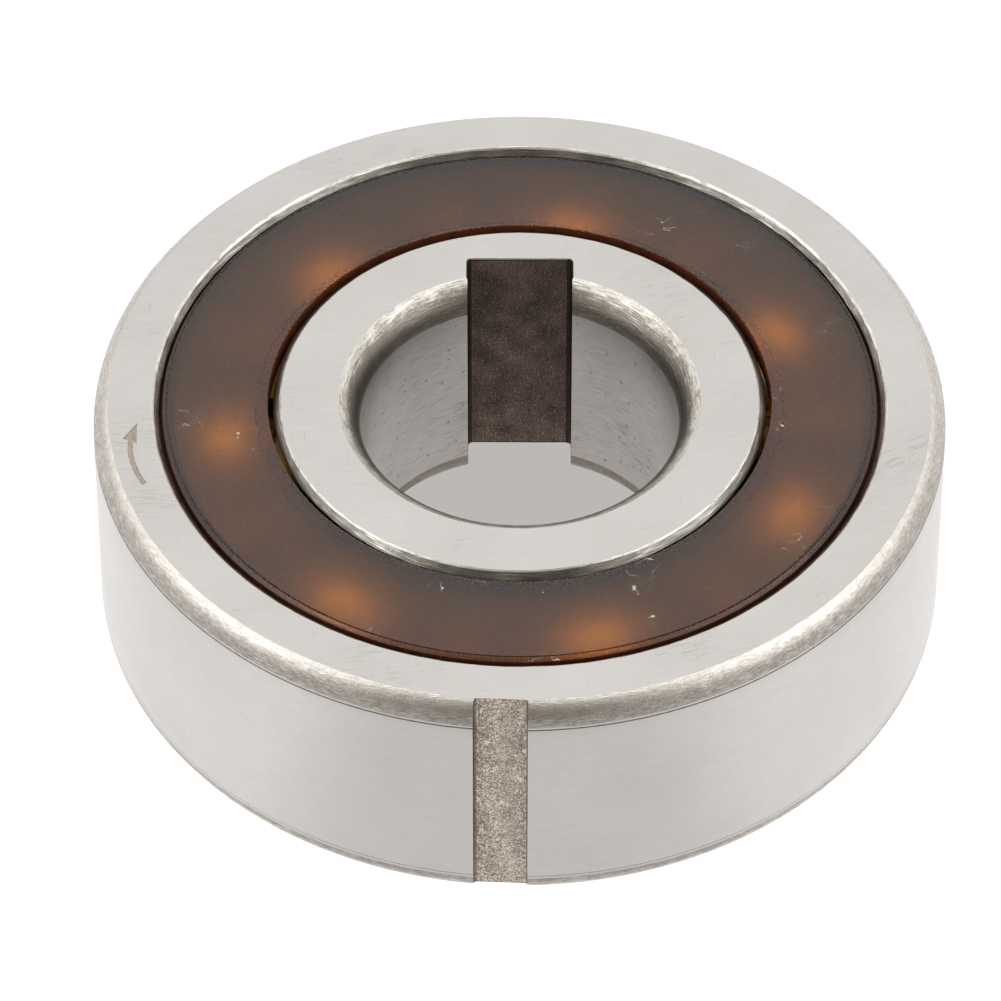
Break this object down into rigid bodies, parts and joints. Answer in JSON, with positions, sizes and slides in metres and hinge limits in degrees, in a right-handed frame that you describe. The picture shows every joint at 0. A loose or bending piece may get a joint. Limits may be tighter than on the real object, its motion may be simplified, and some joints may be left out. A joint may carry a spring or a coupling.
{
  "type": "sprag clutch bearing",
  "caption": "One-way sprag clutch in a grooved ball bearing: keyed inner and outer rings, balls and sprags in one cage, snap-in shields; the inner ring runs free one way and locks the other.",
  "frame": {"origin": "on the bearing's axis, halfway between its two faces", "axes": "+Z along the bearing's axis, towards the face with the direction arrow; the bore's keyway is at +Y"},
  "size_m": [0.032, 0.032, 0.01],
  "materials": {
    "outer_ring_steel": "ground bearing steel",
    "inner_ring_steel": "ground bearing steel",
    "shield_plastic": "dark translucent moulded plastic",
    "cage_nylon": "moulded glass-filled nylon",
    "ball_steel": "polished bearing steel",
    "sprag_steel": "tumbled bearing steel",
    "spring_steel": "rolled spring strip"
  },
  "bodies": {
    "outer_ring": {"outer_ring": "outer_ring_steel", "top_shield": "shield_plastic", "bottom_shield": "shield_plastic"},
    "inner_ring": {"inner_ring": "inner_ring_steel"},
    "cage": {"cage": "cage_nylon", "sprag_spring_1": "spring_steel", "sprag_spring_2": "spring_steel", "sprag_spring_3": "spring_steel", "sprag_spring_4": "spring_steel", "sprag_spring_5": "spring_steel", "sprag_spring_6": "spring_steel", "sprag_spring_7": "spring_steel"},
    "ball_1": {"ball_1": "ball_steel"},
    "ball_2": {"ball_2": "ball_steel"},
    "ball_3": {"ball_3": "ball_steel"},
    "ball_4": {"ball_4": "ball_steel"},
    "ball_5": {"ball_5": "ball_steel"},
    "ball_6": {"ball_6": "ball_steel"},
    "ball_7": {"ball_7": "ball_steel"},
    "sprag_1": {"sprag_1": "sprag_steel"},
    "sprag_2": {"sprag_2": "sprag_steel"},
    "sprag_3": {"sprag_3": "sprag_steel"},
    "sprag_4": {"sprag_4": "sprag_steel"},
    "sprag_5": {"sprag_5": "sprag_steel"},
    "sprag_6": {"sprag_6": "sprag_steel"},
    "sprag_7": {"sprag_7": "sprag_steel"}
  },
  "joints": [
    {"name": "inner_ring_free_turn", "type": "hinge", "parent": "outer_ring", "child": "inner_ring", "pos_m": [0, 0, 0], "axis": [0, 0, 1], "range_deg": [0, 3690]},
    {"name": "cage_orbit", "type": "hinge", "parent": "outer_ring", "child": "cage", "pos_m": [0, 0, 0], "axis": [0, 0, 1], "range_deg": [0, 1400]},
    {"name": "ball_1_roll", "type": "hinge", "parent": "cage", "child": "ball_1", "pos_m": [0.00969, 0.0052, 0], "axis": [0, 0, 1], "range_deg": [-6900, 0]},
    {"name": "ball_2_roll", "type": "hinge", "parent": "cage", "child": "ball_2", "pos_m": [0.00198, 0.01082, 0], "axis": [0, 0, 1], "range_deg": [-6900, 0]},
    {"name": "ball_3_roll", "type": "hinge", "parent": "cage", "child": "ball_3", "pos_m": [-0.00722, 0.00829, 0], "axis": [0, 0, 1], "range_deg": [-6900, 0]},
    {"name": "ball_4_roll", "type": "hinge", "parent": "cage", "child": "ball_4", "pos_m": [-0.01099, -0.00048, 0], "axis": [0, 0, 1], "range_deg": [-6900, 0]},
    {"name": "ball_5_roll", "type": "hinge", "parent": "cage", "child": "ball_5", "pos_m": [-0.00648, -0.00889, 0], "axis": [0, 0, 1], "range_deg": [-6900, 0]},
    {"name": "ball_6_roll", "type": "hinge", "parent": "cage", "child": "ball_6", "pos_m": [0.00291, -0.01061, 0], "axis": [0, 0, 1], "range_deg": [-6900, 0]},
    {"name": "ball_7_roll", "type": "hinge", "parent": "cage", "child": "ball_7", "pos_m": [0.01011, -0.00434, 0], "axis": [0, 0, 1], "range_deg": [-6900, 0]},
    {"name": "sprag_1_release", "type": "hinge", "parent": "cage", "child": "sprag_1", "pos_m": [0.00648, 0.00889, 0], "axis": [0, 0, -1], "range_deg": [0, 4.5], "stiffness_Nm_per_rad": 0.002},
    {"name": "sprag_2_release", "type": "hinge", "parent": "cage", "child": "sprag_2", "pos_m": [-0.00291, 0.01061, 0], "axis": [0, 0, -1], "range_deg": [0, 4.5], "stiffness_Nm_per_rad": 0.002},
    {"name": "sprag_3_release", "type": "hinge", "parent": "cage", "child": "sprag_3", "pos_m": [-0.01011, 0.00434, 0], "axis": [0, 0, -1], "range_deg": [0, 4.5], "stiffness_Nm_per_rad": 0.002},
    {"name": "sprag_4_release", "type": "hinge", "parent": "cage", "child": "sprag_4", "pos_m": [-0.00969, -0.0052, 0], "axis": [0, 0, -1], "range_deg": [0, 4.5], "stiffness_Nm_per_rad": 0.002},
    {"name": "sprag_5_release", "type": "hinge", "parent": "cage", "child": "sprag_5", "pos_m": [-0.00198, -0.01082, 0], "axis": [0, 0, -1], "range_deg": [0, 4.5], "stiffness_Nm_per_rad": 0.002},
    {"name": "sprag_6_release", "type": "hinge", "parent": "cage", "child": "sprag_6", "pos_m": [0.00722, -0.00829, 0], "axis": [0, 0, -1], "range_deg": [0, 4.5], "stiffness_Nm_per_rad": 0.002},
    {"name": "sprag_7_release", "type": "hinge", "parent": "cage", "child": "sprag_7", "pos_m": [0.01099, 0.00048, 0], "axis": [0, 0, -1], "range_deg": [0, 4.5], "stiffness_Nm_per_rad": 0.002}
  ],
  "couplings": [
    {"joint": "cage_orbit", "follows": "inner_ring_free_turn", "ratio": 0.37373},
    {"joint": "ball_1_roll", "follows": "inner_ring_free_turn", "ratio": -1.8536},
    {"joint": "ball_2_roll", "follows": "inner_ring_free_turn", "ratio": -1.8536},
    {"joint": "ball_3_roll", "follows": "inner_ring_free_turn", "ratio": -1.8536},
    {"joint": "ball_4_roll", "follows": "inner_ring_free_turn", "ratio": -1.8536},
    {"joint": "ball_5_roll", "follows": "inner_ring_free_turn", "ratio": -1.8536},
    {"joint": "ball_6_roll", "follows": "inner_ring_free_turn", "ratio": -1.8536},
    {"joint": "ball_7_roll", "follows": "inner_ring_free_turn", "ratio": -1.8536},
    {"joint": "sprag_2_release", "follows": "sprag_1_release", "ratio": 1},
    {"joint": "sprag_3_release", "follows": "sprag_1_release", "ratio": 1},
    {"joint": "sprag_4_release", "follows": "sprag_1_release", "ratio": 1},
    {"joint": "sprag_5_release", "follows": "sprag_1_release", "ratio": 1},
    {"joint": "sprag_6_release", "follows": "sprag_1_release", "ratio": 1},
    {"joint": "sprag_7_release", "follows": "sprag_1_release", "ratio": 1}
  ]
}
